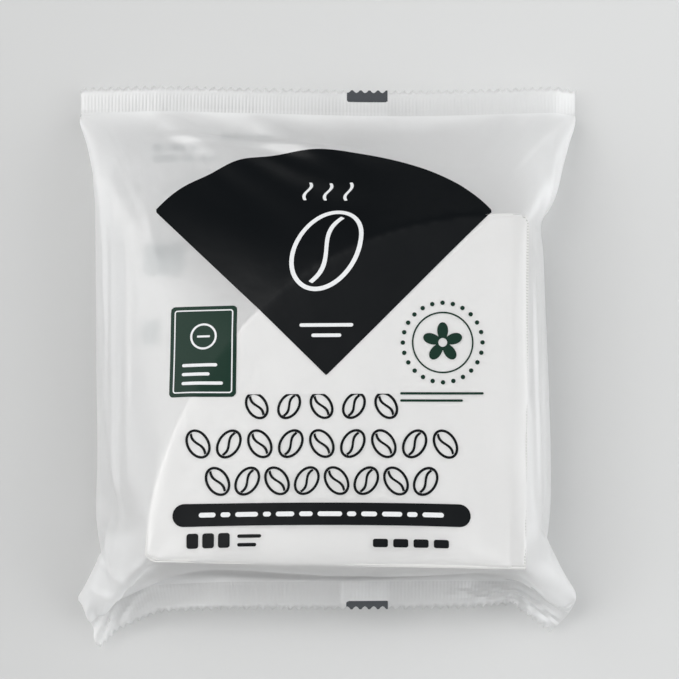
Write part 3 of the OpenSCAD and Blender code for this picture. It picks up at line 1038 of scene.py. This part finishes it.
def dim_room(look):
    """A world of soft light, with brighter walls at the left and right and dimmer ends."""
    world = bpy.data.worlds.new("dim_room")
    world.use_nodes = True
    tree = world.node_tree
    place = tree.nodes.new("ShaderNodeTexCoord").outputs["Generated"]
    parts = new_node(tree, "ShaderNodeSeparateXYZ", Vector=place)
    half = 0.5 * look.room
    left = ranged(tree, parts.outputs["X"], half, look.left_wall - half, -0.6, -0.95)
    right = ranged(tree, parts.outputs["X"], half, look.right_wall - half, 0.6, 0.95)
    walls = worked_out(tree, "ADD", left, right)
    ends = worked_out(tree, "ABSOLUTE", parts.outputs["Y"])
    dim = ranged(tree, ends, 1.0, 0.4, 0.4, 0.9)
    room = tree.nodes["Background"]
    give(tree, room.inputs["Color"], (0.985, 0.993, 1.0, 1))
    give(tree, room.inputs["Strength"], worked_out(tree, "MULTIPLY", walls, dim))
    return world


def soft_box(look, name, place, size, brightness, colour):
    """A square lamp that faces the pack."""
    lamp = bpy.data.lights.new(name, "AREA")
    lamp.size = size
    lamp.energy = 4 * size**2 * brightness
    lamp.color = colour
    made = bpy.data.objects.new(name, lamp)
    made.location = place
    made.rotation_euler = (Vector(look.look_at) - Vector(place)).to_track_quat("-Z", "Y").to_euler()
    bpy.context.scene.collection.objects.link(made)


def aimed_camera(look):
    """The camera at the front of the pack, high above it."""
    camera = bpy.data.cameras.new("camera")
    camera.lens = look.lens
    camera.sensor_width = 36
    camera.clip_start, camera.clip_end = 0.02, 20
    made = bpy.data.objects.new("camera", camera)
    back = Vector((0, -math.cos(look.elevation), math.sin(look.elevation)))
    made.location = Vector(look.look_at) + back * look.distance
    made.rotation_euler = (-back).to_track_quat("-Z", "Y").to_euler()
    bpy.context.scene.collection.objects.link(made)
    return made


# operators


class FILTERPACK_OT_pouch(bpy.types.Operator):
    """Settles the film tube round the stack and makes the pouch with its seals"""

    bl_idname = "filterpack.pouch"
    bl_label = "Film pouch"

    def execute(self, context):
        sizes = context.scene.filter_pouch
        film = settled_film(sizes)
        p = dressed_film(film, sizes)
        rows, around = film.rows, 2 * film.columns
        ids = np.arange((rows + 1) * around).reshape(rows + 1, around)
        after = np.roll(ids, -1, 1)
        faces = [np.stack([ids[:-1], after[:-1], after[1:], ids[1:]], -1).reshape(-1, 4)]
        for j, order in ((0, 1), (rows, -1)):
            front = ids[j, : film.columns + 1]
            back = ids[j][film.mirror[: film.columns + 1]]
            faces.append(np.stack([front[:-1], back[:-1], back[1:], front[1:]], -1)[1:-1, ::order])
        made = new_mesh_object("pouch_film", p.reshape(-1, 3), np.concatenate(faces))
        made["rows"], made["columns"] = rows, film.columns

        look = context.scene.filter_paper
        made.data.materials.append(film_finish("hazy_film", look.haze, look))
        made.data.materials.append(film_finish("sealed_film", look.seal_haze, look))

        def faces_of(some_rows):
            """The faces between each of these rows and the next."""
            return made.data.polygons[some_rows[0] * around : (some_rows[-1] + 1) * around]

        for face in (*faces_of(film.low_rows[1:-1]), *faces_of(film.top_rows[:-2])):
            face.use_smooth = False
        for face in (*faces_of(film.low_rows[:-1]), *faces_of(film.top_rows[:-1])):
            face.material_index = 1
        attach(made, "root")
        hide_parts("film_pouch")
        return {"FINISHED"}


class FILTERPACK_OT_back_seam(bpy.types.Operator):
    """Folds the back seam flat on the pouch, with an eye mark at each end"""

    bl_idname = "filterpack.back_seam"
    bl_label = "Back seam"

    def execute(self, context):
        sizes = context.scene.filter_pouch
        grid = film_grid()
        p, s, t = grid
        x0 = sizes.seam_from / MM
        x1 = x0 + sizes.seam_width / MM
        sx = s[(s >= x0) & (s <= x1)]
        rows, columns = len(t), len(sx)
        gx, gy = np.meshgrid(sx, t)
        flat = np.stack([gx.ravel(), gy.ravel()], -1)
        top, low = (lifted_points(p, s, t, flat, lift, "back") for lift in (0.02, 0.07))
        upper = grid_quads(rows, columns)
        lower = upper[:, ::-1] + rows * columns
        ids = np.arange(rows * columns).reshape(rows, columns)
        rim = np.concatenate([ids[0], ids[1:, -1], ids[-1, -2::-1], ids[-2:0:-1, 0]])
        after = np.roll(rim, -1)
        side = np.stack([rim, rim + rows * columns, after + rows * columns, after], -1)
        faces = np.concatenate([upper, lower, side])
        seam = new_mesh_object("back_seam", np.concatenate([top, low]), faces)
        seam.data.materials.append(bpy.data.materials["sealed_film"])
        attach(seam, "root")
        ink = ink_finish("eye_mark_ink", (0.06, 0.065, 0.072), 0.45)
        for name, y0, y1 in (
            ("eye_mark_top", t[-1] - 3.4, t[-1] + 2),
            ("eye_mark_bottom", t[0] - 2, t[0] + 1.8),
        ):
            mark = functools.partial(bar, x0=x0 + 2.4, y0=y0, x1=x1, y1=y1, r=0.2)
            box = (x0, max(y0 - 1, t[0]), x1, min(y1 + 1, t[-1]))
            printed(name, grid, mark, box, None, 0.05, ink)
        return {"FINISHED"}


class FILTERPACK_OT_print(bpy.types.Operator):
    """Prints the generic fields, lines and bars on the front and the back of the pouch"""

    bl_idname = "filterpack.print"
    bl_label = "Print"

    def execute(self, context):
        look = context.scene.filter_print
        grid = film_grid()
        front = FrontFace(*grid)
        lift = look.lift / MM
        black = ink_finish("black_ink", tuple(look.black))
        green = ink_finish("green_ink", tuple(look.green))
        pale = ink_finish("pale_ink", tuple(look.pale), 0.4)
        # Faint ink of the back print, which also paints shade in its two dark blocks
        faint = ink_finish("back_print_and_shade_ink", (0.16, 0.21, 0.22), 0.45)
        point = look.fan_point[0] / MM, look.fan_point[1] / MM
        whole_fan = functools.partial(fan, point=point, radius=look.fan_radius / MM)
        in_fan = functools.partial(fan_marks, point=point)
        ax, ay = point
        cx, cy = BADGE_MIDDLE
        for name, shape, box, step, height, ink in (
            ("print_fan", whole_fan, (ax - 66, ay - 2, ax + 66, ay + 92), None, lift, black),
            ("print_fan_marks", in_fan, (ax - 20, ay + 10, ax + 20, ay + 76), 0.3, 2 * lift, pale),
            ("print_label", label, (-55, -18, -29, 18), None, lift, green),
            ("print_label_marks", label_marks, (-53, -16, -31, 16), 0.2, 2 * lift, pale),
            ("print_badge", badge, (cx - 17, -19, cx + 17, cy + 17), 0.2, lift, green),
            ("print_title", title, (-50, -53, 47, -16), 0.25, lift, black),
            ("print_pill", pill, (-52, -60, 48, -50), None, lift, black),
            ("print_pill_marks", pill_marks, (-44, -58, 42, -53), 0.25, 2 * lift, pale),
            ("print_small_bars", small_bars, (-48, -69, 44, -59), 0.25, lift, black),
        ):
            printed(name, grid, front.field(shape), front.box(*box), step, height, ink)
        # The back print holds rows of print and two blocks that are partly painted shade
        printed("back_print_and_painted_shade", grid, back_rows_and_shade_blocks, (-70, 0, -10, 88), 0.4, -0.05, faint, "back")
        return {"FINISHED"}


class FILTERPACK_OT_paper(bpy.types.Operator):
    """Gives the stack of filters its creped paper"""

    bl_idname = "filterpack.paper"
    bl_label = "Filter paper"

    def execute(self, context):
        look = context.scene.filter_paper
        plain = paper_finish("creped_paper", look)
        crimp_shaded = paper_finish("paper_with_painted_crimp_shade", look, True)
        names = [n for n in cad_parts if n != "film_pouch"]
        if not names:
            raise RuntimeError("The packed model holds no filters")
        for name in names:
            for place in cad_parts[name].material_slots:
                # The top filter gets the paper with painted shade in its crimp lines
                place.material = crimp_shaded if name == "top_filter" else plain
        return {"FINISHED"}


class FILTERPACK_OT_stage(bpy.types.Operator):
    """Sets the floor, the soft lights and the camera"""

    bl_idname = "filterpack.stage"
    bl_label = "Stage"

    def execute(self, context):
        scene = context.scene
        look = scene.filter_stage
        lay_floor(look)
        scene.world = dim_room(look)
        soft_box(look, "left_box", (-0.8, 0.3, 1.35), 1.2, look.left_box, (1.0, 0.99, 0.975))
        soft_box(look, "right_box", (0.9, 0.1, 1.3), 1.2, look.right_box, (0.98, 0.99, 1.0))
        scene.camera = aimed_camera(look)
        scene.view_settings.view_transform = "Standard"
        return {"FINISHED"}


class FILTERPACK_PT_panel(bpy.types.Panel):
    """Lists the pieces of the pack"""

    bl_label = "Filter pack"
    bl_idname = "FILTERPACK_PT_panel"
    bl_space_type = "VIEW_3D"
    bl_region_type = "UI"
    bl_category = "Filter pack"

    def draw(self, context):
        scene = context.scene
        for group in (scene.filter_pouch, scene.filter_print, scene.filter_paper, scene.filter_stage):
            box = self.layout.box()
            for name in group.bl_rna.properties.keys():
                if name not in ("rna_type", "name"):
                    box.prop(group, name)
        for kind in OPERATORS:
            self.layout.operator(kind.bl_idname)


GROUPS = (
    ("filter_pouch", PouchSizes),
    ("filter_print", PrintLook),
    ("filter_paper", PaperLook),
    ("filter_stage", StageLook),
)
OPERATORS = (
    FILTERPACK_OT_pouch,
    FILTERPACK_OT_back_seam,
    FILTERPACK_OT_print,
    FILTERPACK_OT_paper,
    FILTERPACK_OT_stage,
)


def register():
    """Registers the groups, the operators and the panel."""
    for name, kind in GROUPS:
        bpy.utils.register_class(kind)
        setattr(bpy.types.Scene, name, PointerProperty(type=kind))
    for kind in (*OPERATORS, FILTERPACK_PT_panel):
        bpy.utils.register_class(kind)


def unregister():
    """Takes all of it out again."""
    for kind in (FILTERPACK_PT_panel, *reversed(OPERATORS)):
        bpy.utils.unregister_class(kind)
    for name, kind in reversed(GROUPS):
        delattr(bpy.types.Scene, name)
        bpy.utils.unregister_class(kind)


def main():
    """Builds the whole pack."""
    register()
    bpy.ops.filterpack.pouch()
    bpy.ops.filterpack.back_seam()
    bpy.ops.filterpack.print()
    bpy.ops.filterpack.paper()
    bpy.ops.filterpack.stage()
    bpy.context.view_layer.update()


if __name__ == "__main__":
    main()
